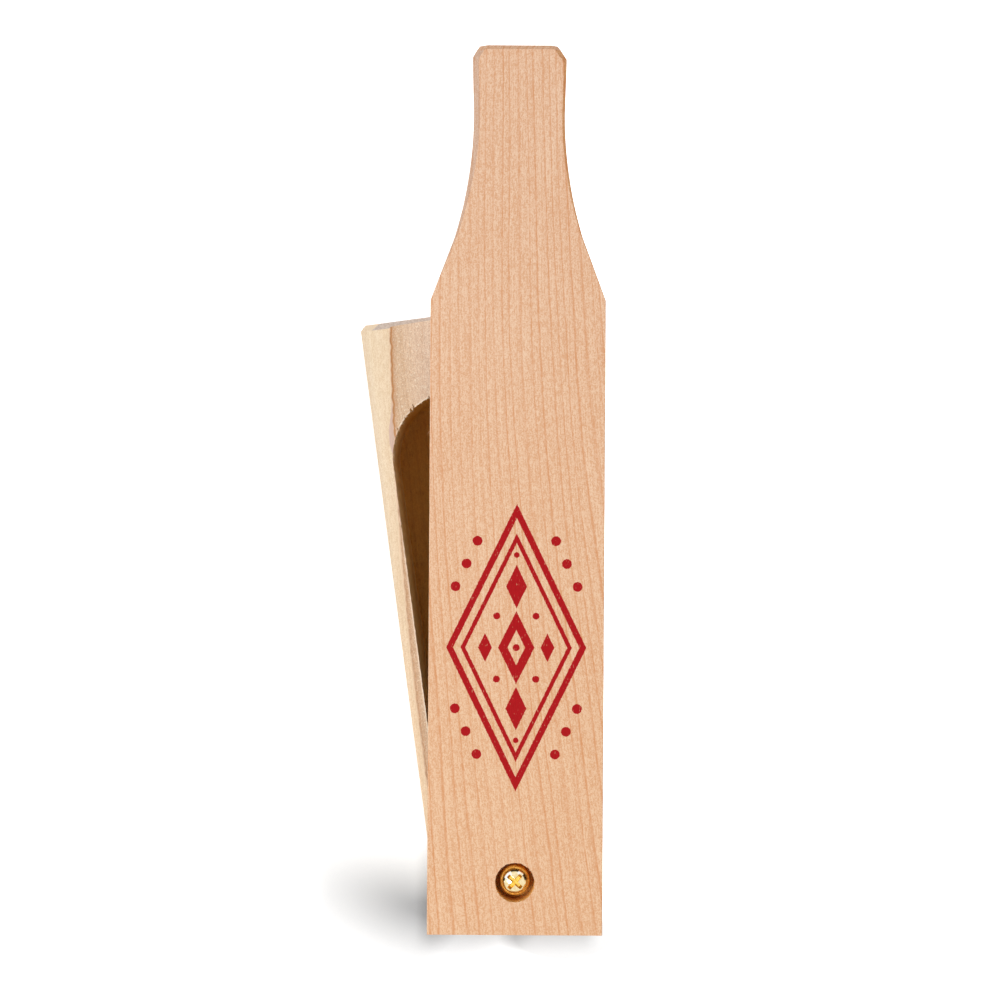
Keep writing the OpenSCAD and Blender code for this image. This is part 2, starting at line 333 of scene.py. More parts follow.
class Shader:
    """A material whose nodes are added by short calls that hand sockets from one to the next."""

    def __init__(self, name, roughness, specular=0.4, metallic=0.0, origin=(0, 0, 0), turn=0.0):
        self.shade = None
        self.material = bpy.data.materials.new(name)
        self.material.use_nodes = True
        self.tree = self.material.node_tree
        self.surface = self.tree.nodes["Principled BSDF"]
        finish = {"Roughness": roughness, "Specular IOR Level": specular, "Metallic": metallic}
        feed_named(self.surface, finish)
        coordinates = self.node("TexCoord")
        at = self.vector("SCALE", coordinates.outputs["Object"], scale=1 / MM)
        self.place = self.turned(self.vector("SUBTRACT", at, origin), turn)
        self.x, self.y, self.z = self.parts(self.place)
        self.facing_x, self.facing_y, self.facing_z = self.parts(
            self.turned(coordinates.outputs["Normal"], turn)
        )

    def node(self, kind, *values, **settings):
        return add_node(self.tree, kind, *values, **settings)

    def turned(self, value, turn):
        """The vector in a frame that is turned about Z."""
        if not turn:
            return value
        made = self.node("VectorRotate", value, rotation_type="Z_AXIS")
        made.inputs["Angle"].default_value = turn
        return made.outputs[0]

    def parts(self, value):
        return self.node("SeparateXYZ", value).outputs

    def math(self, operation, a, b=0.0):
        return self.node("Math", a, b, operation=operation).outputs[0]

    def times(self, a, b):
        return self.math("MULTIPLY", a, b)

    def minus(self, a, b):
        return self.math("SUBTRACT", a, b)

    def vector(self, operation, a, b=(0.0, 0.0, 0.0), scale=1.0):
        made = self.node("VectorMath", a, b, operation=operation)
        if operation == "SCALE":
            made.inputs["Scale"].default_value = scale
        single = operation in ("DISTANCE", "DOT_PRODUCT", "LENGTH")
        return made.outputs["Value" if single else "Vector"]

    def weighted(self, *pairs):
        """The sum of values, each times its weight."""
        total = 0.0
        for value, weight in pairs:
            made = self.node("Math", value, weight, total, operation="MULTIPLY_ADD")
            total = made.outputs[0]
        return total

    def joined(self, x, y, z):
        return self.node("CombineXYZ", x, y, z).outputs[0]

    def noise(self, sizes, detail=1.0, shift=0.0, output="Fac", place=None):
        """Noise from 0 to 1 whose features measure about the given sizes in millimetres."""
        place = self.place if place is None else place
        scaled = self.vector("MULTIPLY", place, tuple(1 / size for size in sizes))
        moved = self.vector("ADD", scaled, (shift, shift, shift))
        made = self.node("TexNoise", moved)
        feed_named(made, {"Scale": 1.0, "Detail": detail})
        return made.outputs[output]

    def noise_along(self, value, size):
        """Noise from 0 to 1 that depends on one value alone."""
        made = self.node("TexNoise", noise_dimensions="1D")
        feed_named(made, {"Scale": 1 / size, "Detail": 0.0, "W": value})
        return made.outputs["Fac"]

    def chance(self, value):
        """A random number from 0 to 1 for each whole value."""
        made = self.node("TexWhiteNoise", noise_dimensions="1D")
        feed(made.inputs["W"], value)
        return made.outputs["Value"]

    def step(self, value, low, high, out_low=0.0, out_high=1.0, kind="SMOOTHSTEP"):
        """out_low up to low, out_high from high on, and a change of the given kind between."""
        numbers = (low, high, out_low, out_high)
        return self.node("MapRange", value, *numbers, interpolation_type=kind).outputs[0]

    def within(self, value, rise, fall):
        """A smooth rise from 0 to 1 and fall back to 0, each given by where it starts and ends."""
        return self.times(self.step(value, *rise), self.step(value, *fall, 1.0, 0.0))

    def mix(self, factor, a, b, how="MIX"):
        made = self.node("Mix", factor, data_type="RGBA", blend_type=how)
        feed(made.inputs[6], a)
        feed(made.inputs[7], b)
        return made.outputs[2]

    def relief(self, height, strength, depth):
        made = self.node("Bump")
        feed_named(made, {"Strength": strength, "Distance": depth * MM, "Height": height})
        feed(self.surface.inputs["Normal"], made.outputs[0])

    def paint(self, where, tone, how="MIX"):
        """Lays a tone over the colour so far, as far as where says."""
        self.shade = self.mix(where, self.shade, tone, how)

    def tint(self, where, tone):
        """Multiplies the colour so far by a tone, as far as where says."""
        self.paint(where, tone, "MULTIPLY")

    def finished(self):
        feed(self.surface.inputs["Base Color"], self.shade)
        return self.material


def along_grain(s, drift, tilt, bend=0.0):
    """The place, with X measured across grain that wanders, leans with height and follows a bend."""
    wander = s.noise((26, 120, 26), shift=3.0)
    wobble = s.noise((2.2, 9, 2.2), shift=19.0)
    across = s.weighted((s.x, 1.0), (s.z, tilt), (wander, drift), (wobble, 0.45), (bend, -1.0))
    return s.joined(across, s.y, s.z)


def growth_lines(s, place, spacing, spread):
    """Thin growth lines that run along Y: uneven in spacing and strength, and broken into dashes."""
    across = s.math("DIVIDE", s.parts(place)[0], spread)
    uneven = s.noise_along(across, 2.2 * spacing)
    turns = s.weighted((across, 1 / spacing), (uneven, 1.0))
    phase = s.math("FRACT", turns)
    line = s.within(phase, (0.66, 0.86), (0.89, 0.98))
    strength = s.step(s.chance(s.math("FLOOR", turns)), 0.0, 0.8, 0.55, 1.0)
    broken = s.step(s.noise((0.9, 3.0, 0.9), detail=2.0, shift=7.0), 0.36, 0.6, 0.6, 1.0)
    rising = s.times(s.step(phase, 0.05, 0.8, 0.0, 0.15), s.step(phase, 0.88, 1.0, 1.0, 0.0))
    return s.times(s.math("MAXIMUM", s.times(line, broken), rising), strength)


def wood(s, base, dark, line, place, spacing, fibre, line_share, fleck_share, spread=1.0):
    """Paints mottled fibres, growth lines and short dark flecks, and gives their height."""
    streaks = s.noise((0.42, 18, 0.42), shift=2.0, place=place)
    fibres = s.noise((0.4, 1.8, 0.4), place=place)
    pores = s.noise((0.3, 0.42, 0.3), shift=5.0, place=place)
    clouds = s.noise((9, 34, 9), detail=2.0, shift=9.0)
    grain = s.weighted((streaks, 0.22), (fibres, 0.3), (pores, 0.48))
    tone = s.weighted((s.step(grain, 0.5 - fibre, 0.5 + fibre), 0.75), (clouds, 0.25))
    s.shade = s.mix(tone, dark, base)
    lines = growth_lines(s, place, spacing, spread)
    s.paint(s.times(lines, line_share), line)
    flecks = s.step(s.noise((0.5, 2.4, 0.5), shift=13.0, place=place), 0.6, 0.72)
    s.paint(s.times(flecks, fleck_share), line)
    return s.weighted((grain, 1.0), (lines, -0.3))


# The printed ornament: nested upright lozenges, in millimetres from its centre, folded on both axes.
# A ring has an inset and a width, a lozenge a place and half sizes, and a dot a place and a radius.
# The centre has the half sizes of a lozenge and its hole, and a dot's radius
PRINT_Y = 67.0
PRINT_A, PRINT_B = 20.0, 41.0
PRINT_RINGS = ((0.9, 1.8), (4.3, 1.2))
PRINT_LOZENGES = ((0, 17.4, 3.0, 6.2), (8.9, 0, 2.0, 4.1))
PRINT_DOTS = ((0, 26.4, 0.8), (5.6, 9.0, 1.0), (17.4, 17.4, 1.4), (14.3, 23.9, 1.4), (11.2, 30.4, 1.4))
PRINT_CENTRE = (5.2, 10.4, 2.5, 5.0, 1.0)


def ornament(s):
    """How much ink lies at a place: 1 inside the print's lines and 0 outside."""
    ragged = s.noise((0.3, 0.7, 0.3), shift=21.0, output="Color")
    shifted = s.vector("SCALE", s.vector("SUBTRACT", ragged, (0.5, 0.5, 0.5)), scale=0.3)
    centred = s.vector("SUBTRACT", s.vector("ADD", s.place, shifted), (0, PRINT_Y, 0))
    folded = s.vector("ABSOLUTE", s.vector("MULTIPLY", centred, (1, 1, 0)))

    def lozenge(x, y, a, b):
        """Distance outside a lozenge's edge, negative inside."""
        near = s.vector("ABSOLUTE", s.vector("SUBTRACT", folded, (x, y, 0)))
        share = s.vector("DOT_PRODUCT", near, (1 / a, 1 / b, 0))
        return s.times(s.minus(share, 1.0), a * b / hypot(a, b))

    def dot(x, y, radius):
        return s.minus(s.vector("DISTANCE", folded, (x, y, 0)), radius)

    outer = lozenge(0, 0, PRINT_A, PRINT_B)
    shapes = []
    for inset, width in PRINT_RINGS:
        middle = s.math("ABSOLUTE", s.math("ADD", outer, inset))
        shapes.append(s.minus(middle, width / 2))
    a, b, hole_a, hole_b, dot_r = PRINT_CENTRE
    hole = s.times(lozenge(0, 0, hole_a, hole_b), -1.0)
    shapes.append(s.math("MAXIMUM", lozenge(0, 0, a, b), hole))
    shapes.append(dot(0, 0, dot_r))
    shapes += [lozenge(*size) for size in PRINT_LOZENGES]
    shapes += [dot(*size) for size in PRINT_DOTS]
    nearest = shapes[0]
    for shape in shapes[1:]:
        nearest = s.math("MINIMUM", nearest, shape)
    ink = s.step(nearest, -0.07, 0.07, 1.0, 0.0)
    worn = s.step(s.noise((0.3, 1.1, 0.3), shift=31.0), 0.24, 0.32, 0.6, 1.0)
    on_top = s.math("GREATER_THAN", s.z, PADDLE_T - 0.2)
    return s.times(s.times(ink, worn), on_top)


# Where the painted shade on the handle's sides starts and where it is full
HANDLE_SHADE = (160, 180)
# The paddle's growth lines bend to the right below the handle: where, over what length and how steeply
BEND_START_Y = 190.0
BEND_L = 120.0
BEND_SLOPE = 0.11
# How much wider apart they get for each millimetre towards the tail
LINE_SPREAD = 0.0017


def paddle_bend(s):
    """How far the growth lines have bent away at a place on the paddle."""
    below = s.math("MAXIMUM", s.minus(BEND_START_Y, s.y), 0.0)
    curved = s.math("MINIMUM", below, BEND_L)
    rise = s.times(curved, s.weighted((curved, 0.5 / BEND_L), (1.0, -1.0)))
    return s.times(s.math("ADD", below, rise), BEND_SLOPE)


def paddle_wood():
    s = Shader("paddle_wood", roughness=0.66, specular=0.15, **PADDLE_FRAME)
    grain = along_grain(s, 4.0, 0.55, paddle_bend(s))
    spread = s.weighted((s.y, -LINE_SPREAD), (1.0, 1 + LINE_SPREAD * PADDLE_L))
    height = wood(
        s, srgb(244, 210, 181), srgb(220, 166, 126), srgb(213, 143, 93), grain,
        spacing=2.25, fibre=0.115, line_share=0.68, fleck_share=0.2, spread=spread,
    )
    # Painted shade on the handle's chamfers: cool grey on the left, warm and darker on the right
    on_handle = s.times(s.step(s.y, *HANDLE_SHADE), s.step(s.facing_z, 0.15, 0.4))
    left = s.step(s.facing_x, -0.6, -0.35, 1.0, 0.0)
    right = s.step(s.facing_x, 0.35, 0.6)
    for where, tint in (
        (s.step(s.y, -TAIL_L, PADDLE_L - TAIL_L, 1.0, 0.0), (1.0, 0.965, 0.88, 1)),
        (s.times(left, on_handle), (0.77, 0.79, 0.85, 1)),
        (s.times(right, on_handle), (0.94, 0.78, 0.56, 1)),
        (s.step(s.facing_y, 0.35, 0.6), (0.93, 0.88, 0.84, 1)),
        # Painted light: faces that look towards the tail are made lighter
        (s.step(s.facing_y, -0.6, -0.35, 1.0, 0.0), (1.09, 1.06, 1.0, 1)),
    ):
        s.tint(where, tint)
    s.paint(ornament(s), s.mix(s.noise((0.4, 1.6, 0.4), detail=2.0), srgb(156, 0, 8), srgb(186, 12, 20)))
    s.relief(height, 0.25, 0.12)
    return s.finished()


def tooled_wood(name, tones, line_share, fleck_share, mark_size, **where):
    """Wood that a turning cutter has gone through, with its level marks in relief."""
    s = Shader(name, roughness=0.75, specular=0.12, **where)
    height = wood(
        s, *tones, along_grain(s, 6.0, 0.5),
        spacing=3.1, fibre=0.16, line_share=line_share, fleck_share=fleck_share,
    )
    marks = s.noise((5, 5, mark_size), shift=17.0)
    s.relief(s.math("ADD", height, marks), 0.35, 0.15)
    return s


def bored_wood():
    """The wall and floor of the paddle's bore: a saturated golden copy of the wood, as painted bounce
    light in the shaded bore.
    """
    tones = (srgb(254, 204, 118), srgb(240, 170, 82), srgb(204, 124, 56))
    return tooled_wood("bored_wood", tones, 0.5, 0.4, 0.35, **PADDLE_FRAME).finished()


def routed_wood():
    """The chamber's inside: a saturated yellow-brown as painted shade and warm bounce light, and walls
    paler than the floor as painted light, most towards the rim.
    """
    tones = (srgb(238, 190, 106), srgb(220, 168, 88), srgb(186, 128, 66))
    s = tooled_wood("routed_wood", tones, 0.4, 0.35, 0.5)
    # Painted light on the side walls, stronger towards the rim
    sideways = s.step(s.math("ABSOLUTE", s.facing_x), 0.7, 0.98)
    sides = s.times(s.step(s.facing_z, 0.5, 0.95, 1.0, 0.0), sideways)
    s.paint(s.times(sides, s.step(s.z, 4, 26, 0.5, 1.0)), srgb(255, 240, 204))
    return s.finished()


def paint_end_grain(s):
    """End grain on faces that look along the box, but not on the rubbed corners of the front end."""
    ends = s.step(s.math("ABSOLUTE", s.facing_y), 0.45, 0.62)
    folded = s.joined(s.math("ABSOLUTE", s.x), s.y, 0.0)
    out = s.vector("DOT_PRODUCT", folded, (CORNER_RUB[0], CORNER_RUB[1], 0))
    inside = s.step(s.minus(CORNER_RUB[2], out), -0.1, 0.15)
    chamfer_z = BOX_H - ARCH_DROP - END_CHAMFER
    inside = s.math("MAXIMUM", inside, s.step(s.z, chamfer_z - END_CHAMFER, chamfer_z, 1.0, 0.0))
    pores = s.noise((0.5, 2.0, 0.5), shift=41.0)
    tone = s.mix(s.step(pores, 0.35, 0.65), srgb(206, 188, 174), srgb(222, 206, 193))
    s.paint(s.times(ends, inside), tone)


# How far the box's growth lines wander, how much they lean with height and how far apart they are
BOX_GRAIN = (12.0, 0.8)
BOX_SPACING = 4.6


def planed_wood():
    """The outside of the box: pale, with faint growth lines under a fine fuzzy grain."""
    s = Shader("planed_wood", roughness=0.7, specular=0.2)
    height = wood(
        s, srgb(246, 228, 201), srgb(222, 195, 158), srgb(208, 172, 130),
        along_grain(s, *BOX_GRAIN), spacing=BOX_SPACING, fibre=0.16, line_share=0.14, fleck_share=0.1,
    )
    # Painted shade: the slanted outer bevels, which face the key lamp more, are tinted darker and greyer
    bevel = s.step(s.math("ABSOLUTE", s.facing_x), 0.2, 0.45)
    s.tint(s.times(bevel, s.step(s.facing_z, 0.3, 0.5)), (0.93, 0.9, 0.9, 1))
    paint_end_grain(s)
    s.relief(height, 0.3, 0.15)
    return s.finished()


def inside_lips(s):
    """How far in from the wavy foot of a lip's inner edge a place lies."""
    ahead = s.times(s.minus(s.y, PEAK_Y), 1 / FRONT_RUN)
    foot = s.weighted((s.times(ahead, ahead), -LIP_SAG), (1.0, BOX_W / 2 - LIP_THIN_W))
    wavy = s.weighted((s.noise_along(s.y, 2.4), 0.5), (1.0, -0.25))
    return s.weighted((foot, 1.0), (s.math("ABSOLUTE", s.x), -1.0), (wavy, 1.0))


# Along the lips: where the painted shade on the torn facets starts and ends, and where the painted shade
# along the shoulder grows strong
FACET_SHADE_STARTS, FACET_SHADE_ENDS = (45.0, 50.0), (60.0, 67.0)
SHOULDER_SHADE_GROWS = (25.0, 55.0)


def milled_wood():
    """The rough surface between the lips with pale fuzz: darker than the planed wood, partly from
    milling and partly as painted shade, with painted shade towards the lips, along the shoulder and on
    torn facets, and a painted highlight by the chamber's rim.
    """
    s = Shader("milled_wood", roughness=0.8, specular=0.12)
    height = wood(
        s, srgb(236, 214, 190), srgb(209, 181, 156), srgb(198, 156, 116),
        along_grain(s, *BOX_GRAIN), spacing=BOX_SPACING, fibre=0.12, line_share=0.2, fleck_share=0.3,
    )
    # Painted shade: warmer and darker away from the middle, towards the lips
    s.tint(s.step(s.math("ABSOLUTE", s.x), 6.0, 15.0), (0.95, 0.895, 0.8, 1))
    fuzz = s.noise((0.32, 0.42, 0.32), detail=2.0, shift=27.0)
    s.paint(s.step(fuzz, 0.54, 0.68, 0.0, 0.6), srgb(250, 240, 222))
    # Painted highlight: a pale band along the chamber's rim
    ahead = s.math("MAXIMUM", s.minus(s.y, CHAMBER_FRONT_Y), 0.0)
    from_rim = s.minus(s.vector("LENGTH", s.joined(s.x, ahead, 0.0)), CHAMBER_R)
    s.paint(s.step(from_rim, 0.25, 0.65, 0.7, 0.0), srgb(253, 240, 218))
    from_lip = inside_lips(s)
    # Torn facets at the lip's foot: pale like the lips' own wood, and greyish as painted shade within
    # the window
    facet_shade = s.mix(s.within(s.y, FACET_SHADE_STARTS, FACET_SHADE_ENDS), srgb(248, 226, 196), srgb(222, 196, 182))
    s.paint(s.step(from_lip, 0.0, 0.3, 0.9, 0.0), facet_shade)
    # Painted shade: a brown line at the shoulder's foot and a softer shade beyond it, stronger towards
    # the front
    shoulder_shade = s.step(s.math("ABSOLUTE", s.minus(from_lip, 0.5)), 0.1, 0.45, 0.9, 0.0)
    beyond = s.times(s.step(from_lip, 0.6, 2.2, 0.4, 0.0), s.step(from_lip, 0.3, 0.5))
    shoulder_shade = s.times(s.math("MAXIMUM", shoulder_shade, beyond), s.step(s.y, *SHOULDER_SHADE_GROWS, 0.35, 1.0))
    s.paint(shoulder_shade, srgb(190, 134, 86))
    paint_end_grain(s)
    s.relief(s.math("ADD", height, fuzz), 0.5, 0.15)
    return s.finished()


def fibre_wood(name, dark, light):
    s = Shader(name, roughness=0.8, specular=0.15)
    s.shade = s.mix(s.noise((0.3, 0.6, 0.3)), dark, light)
    return s.finished()


# Painted reflections near the head's rim, dark and bright: direction in degrees, half spread, from and
# to a share of the radius, and whether bright
PAINTED_RIM_REFLECTIONS = (
    (83.0, 19.0, 0.87, 1.1, False), (17.0, 14.0, 0.83, 1.1, False), (159.0, 5.0, 0.85, 1.1, False),
    (129.0, 25.0, 0.64, 0.94, True), (57.0, 7.0, 0.74, 0.96, True), (38.0, 6.0, 0.9, 1.1, True),
)


def painted_rim_reflections(s, bright):
    """How strongly a place near the head's rim carries a painted dark reflection, or a painted bright
    one.
    """
    offset = s.vector("MULTIPLY", s.vector("SUBTRACT", s.place, (0, PIVOT_Y, 0)), (1, 1, 0))
    away = s.math("DIVIDE", s.vector("LENGTH", offset), HEAD_R)
    unit = s.vector("NORMALIZE", offset)
    total = 0.0
    for degrees, spread, start, end, is_bright in PAINTED_RIM_REFLECTIONS:
        if is_bright != bright:
            continue
        angle = radians(degrees)
        limit = cos(radians(spread))
        along = s.vector("DOT_PRODUCT", unit, (cos(angle), sin(angle), 0))
        band = s.within(away, (start - 0.03, start + 0.02), (end - 0.03, end + 0.02))
        patch = s.times(s.step(along, limit - 0.015, limit + 0.002), band)
        total = s.math("MAXIMUM", total, patch)
    return total


def brass(name, light, dark, roughness, metallic=1.0, dents=0.0, rim=False):
    """Polished brass with faint scratches, shallow dents, a little tarnish and, where asked, painted
    reflections near the rim.
    """
    s = Shader(name, roughness=roughness, metallic=metallic)
    tarnish = s.noise((0.7, 0.7, 0.7), detail=3.0)
    s.shade = s.mix(s.step(tarnish, 0.35, 0.7), light, dark)
    # Painted reflections: dark and bright arcs near the head's rim
    if rim:
        s.paint(s.times(painted_rim_reflections(s, True), 0.9), srgb(255, 255, 252))
        s.paint(s.times(painted_rim_reflections(s, False), 0.95), srgb(48, 34, 10))
    scratches = s.noise((0.08, 0.9, 0.5), detail=2.0, shift=3.0)
    hollows = s.noise((1.5, 1.5, 1.5), detail=0.0, shift=11.0)
    s.relief(s.weighted((scratches, 0.1), (hollows, dents)), 0.4, 0.1)
    return s.finished()


# Sound box


def arch_z(y):
    """Height of the lips at y."""
    return BOX_H - ARCH_R + sqrt(ARCH_R**2 - (y - PEAK_Y) ** 2)


def lip_width(y):
    return LIP_THIN_W + LIP_SAG * ((y - PEAK_Y) / FRONT_RUN) ** 2


def bevel_width(y):
    return max(0.06, BEVEL_FRONT_W * (1 - (FRONT_Y - y) / BEVEL_L))


# Torn stretches of each lip's inner edge: distance from the screw, half length and width
LIP_TEARS = {
    -1: ((131.5, 8.5, 1.15), (113.0, 6.0, 0.35), (96.0, 14.0, 0.4), (150.0, 4.0, 0.25)),
    1: ((142.0, 6.0, 0.5), (120.0, 9.0, 0.7), (84.0, 12.0, 0.4)),
}
TEAR_SLOPE = 0.3


def tear_width(y, side):
    """How far the lip's inner edge has torn away towards the outside."""
    width = 0.08 + 0.07 * (1 + ripple(0, y, 2.6, 4 + side)) + 0.05 * (1 + ripple(0, y, 0.9, 8 + side))
    for place, half_length, depth in LIP_TEARS[side]:
        width += depth * bump(y - PIVOT_Y, place, half_length) * (1 + 0.3 * ripple(0, y, 1.7, 12 + side))
    return min(width, lip_width(y) - 0.5, 0.9 * SHOULDER_DROP / TEAR_SLOPE)


def relief_z(x, y):
    """Height of the relieved surface, a shallow trough between the lips."""
    foot = BOX_W / 2 - lip_width(y)
    return arch_z(y) - blend(RELIEF_DEPTH, SHOULDER_DROP, min(1, abs(x) / foot) ** 2)


def half_ring(y, side, relieved):
    """One side of the box's cross-section, from the bottom up and in towards the middle."""
    half_w = BOX_W / 2
    top = arch_z(y)
    bevel = bevel_width(y)
    edge = half_w - lip_width(y) + 0.06 * ripple(0, y, 3.0, 20 + side)
    tear = tear_width(y, side)
    torn = TEAR_SLOPE * tear if relieved else 0.0
    foot = edge - SHOULDER_RUN * (1 - 0.6 * torn / SHOULDER_DROP)
    section = [
        (half_w - BOTTOM_EASE, 0), (half_w, BOTTOM_EASE), (half_w, top - bevel * BEVEL_SLOPE),
        (half_w - bevel, top), (edge + tear, top), (edge, top - torn),
    ]
    section += [
        (share * foot, relief_z(share * foot, y) if relieved else top)
        for share in (1, 0.8, 0.6, 0.4, 0.2)
    ]
    return [(side * x, y, z) for x, z in section]


def box_ring(y, relieved):
    left, right = (half_ring(y, side, relieved) for side in (-1, 1))
    return left + [(0, y, relief_z(0, y) if relieved else arch_z(y))] + right[::-1]


# Splinters torn out of the chamber's front rim along the grain: X, half width and length
RIM_NOTCHES = (
    (-12.1, 0.45, 1.0), (-11.2, 0.3, 1.7), (-16.6, 0.35, 0.8), (-14.2, 0.25, 0.5),
    (-6.4, 0.3, 0.7), (3.5, 0.4, 0.9), (9.8, 0.5, 1.4), (15.2, 0.35, 0.9),
)
RIM_STEP = 0.22
SIDE_STEP = 0.6


def notch_length(x):
    return max(length * max(0.0, 1 - abs(x - place) / width) for place, width, length in RIM_NOTCHES)


def stadium(inset, z, rough=0.0):
    """Outline of the chamber, drawn in by inset; rough is how far its torn edge wanders outwards."""
    radius = CHAMBER_R - inset

    def arc(y, start, end, step):
        angles = spaced(start, end, step / CHAMBER_R)
        return [(radius * cos(a), y + radius * sin(a)) for a in angles]

    front = arc(CHAMBER_FRONT_Y, 0, pi, RIM_STEP)
    rear = arc(CHAMBER_HINGE_Y, pi, tau, SIDE_STEP)
    left = [(-radius, y) for y in spaced(CHAMBER_FRONT_Y, CHAMBER_HINGE_Y, SIDE_STEP)[1:-1]]
    right = [(radius, y) for y in spaced(CHAMBER_HINGE_Y, CHAMBER_FRONT_Y, SIDE_STEP)[1:-1]]
    points = []
    for x, y in front + left + rear + right:
        away = Vector((x, y - clamp(y, CHAMBER_HINGE_Y, CHAMBER_FRONT_Y))).normalized()
        chips = max(0.0, ripple(x, y, 1.3, 40) - 0.15) * 0.9 + 0.25 * (1 + ripple(x, y, 0.7, 44))
        notch = notch_length(x) if rough and y > CHAMBER_FRONT_Y else 0.0
        points.append((x + away.x * rough * chips - 0.3 * notch, y + away.y * rough * chips + notch, z))
    return points


# How far the chamber's torn rim wanders, at the relieved surface and above the box
RIM_ROUGH, TOP_ROUGH = 0.35, 0.45


def chamber_cutter():
    rim_z = relief_z(0, FRONT_Y)
    levels = [
        (FLOOR_T, CHAMBER_COVE), (FLOOR_T + 0.3 * CHAMBER_COVE, 0.3 * CHAMBER_COVE),
        (FLOOR_T + CHAMBER_COVE, 0), (rim_z - 0.9, 0),
    ]
    rings = [stadium(inset, z) for z, inset in levels]
    rings += [stadium(0, rim_z + 0.1, RIM_ROUGH), stadium(0, BOX_H + 2, TOP_ROUGH)]
    return loft("chamber_cutter", rings)


def rim_point(angle, out=0.0):
    """A place on the chamber's round front rim, seen from above; angle is from +X."""
    radius = CHAMBER_R + out
    return Vector((radius * cos(angle), CHAMBER_FRONT_Y + radius * sin(angle)))


def plane_cut(piece, point, normal):
    """Takes off what lies beyond a plane, on the side that the normal points to, and closes the cut."""
    bm = bmesh.new()
    bm.from_mesh(piece.data)
    every = bm.verts[:] + bm.edges[:] + bm.faces[:]
    bmesh.ops.bisect_plane(bm, geom=every, dist=1e-4, plane_co=point, plane_no=normal, clear_outer=True)
    bmesh.ops.holes_fill(bm, edges=[edge for edge in bm.edges if edge.is_boundary], sides=0)
    write_mesh(bm, piece.data)


def cut_box_edges(piece):
    """The chamfered ends, the eased bottom edges there and the four clipped corners."""
    half_w = BOX_W / 2
    for out, end_y in ((1, FRONT_Y), (-1, HINGE_Y)):
        plane_cut(piece, (0, end_y, arch_z(end_y) - END_CHAMFER), (0, out, 1))
        plane_cut(piece, (0, end_y, BOTTOM_EASE), (0, out, -1))
        for side in (-1, 1):
            plane_cut(piece, (side * half_w, end_y - out * CORNER_CLIP, 0), (side, out, 0))


def box_cutters():
    cutters = [chamber_cutter()]
    for radius, z in ((SHANK_R + 0.05, SEAT_Z - SHANK_L), (ROOT_R, SCREW_LOW.z)):
        rings = [circle((0, PIVOT_Y), radius, 48, level) for level in (z, BOX_H + 2)]
        cutters.append(loft("screw_hole", rings))
    return cutters


PLANED, MILLED, ROUTED = 0, 1, 2


def box_surface(centre, normal):
    """Which wood a face of the box shows: planed outside, milled between the lips, routed inside."""
    from_middle = hypot(centre.x, centre.y - clamp(centre.y, CHAMBER_HINGE_Y, CHAMBER_FRONT_Y))
    low = centre.z < relief_z(centre.x, centre.y) - 0.12
    if from_middle < CHAMBER_R + 0.9 and centre.z > 1 and low:
        return ROUTED
    if normal.z < 0.1 or centre.y < RELIEF_REAR_Y or centre.z < FLOOR_T + 5:
        return PLANED
    if abs(centre.x) < BOX_W / 2 - lip_width(centre.y) + 0.02:
        return MILLED
    torn = abs(normal.x) > 0.12 and abs(centre.x) < BOX_W / 2 - bevel_width(centre.y) - 0.15
    return MILLED if torn else PLANED


def sound_box():
    rings = [box_ring(y, False) for y in spaced(HINGE_Y, RELIEF_REAR_Y, 2.0)]
    rings += [box_ring(y, True) for y in spaced(RELIEF_REAR_Y + 0.1, FRONT_Y, 0.7)]
    piece = loft("box_body", rings)
    cut_box_edges(piece)
    cut(piece, box_cutters())
    soften(piece, 0.12, 40)
    woods = [planed_wood(), milled_wood(), routed_wood()]
    return finish_piece(piece, "box", woods, ["sound_box"], kind=box_surface)


def add_fibre(bm, root, direction, length, radius, curl):
    """Adds a thin tapering splinter that bends as it goes."""
    direction = direction.normalized()
    other = Vector((0, 0, 1)) if abs(direction.z) < 0.9 else Vector((1, 0, 0))
    side = direction.cross(other).normalized()
    up = side.cross(direction)
    rings = []
    for i in range(5):
        t = i / 4
        centre = root + direction * (length * t) + curl * (t * t)
        reach = radius * (1 - 0.85 * t)
        rings.append([
            centre + side * (reach * cos(a)) + up * (reach * sin(a))
            for a in (tau * k / 4 for k in range(4))
        ])
    add_loft(bm, rings)


def loose_direction(heading, spread, lift):
    angle = heading + uniform(-spread, spread)
    return Vector((cos(angle), sin(angle), uniform(*lift)))


def add_loose_fibre(bm, root, heading, spread, lift, lengths, radii, curl=(0, 0, 0)):
    """Adds a fibre whose direction, length and radius vary within the given ranges."""
    direction = loose_direction(heading, spread, lift)
    length = uniform(*lengths)
    add_fibre(bm, root, direction, length, uniform(*radii), Vector(curl))


# How many loose fibres there are on the chamber's rim, along the lips, between them and round the bore
RIM_FIBRES, LIP_FIBRES, MILLED_FIBRES, BORE_FIBRES = 150, 170, 260, 110


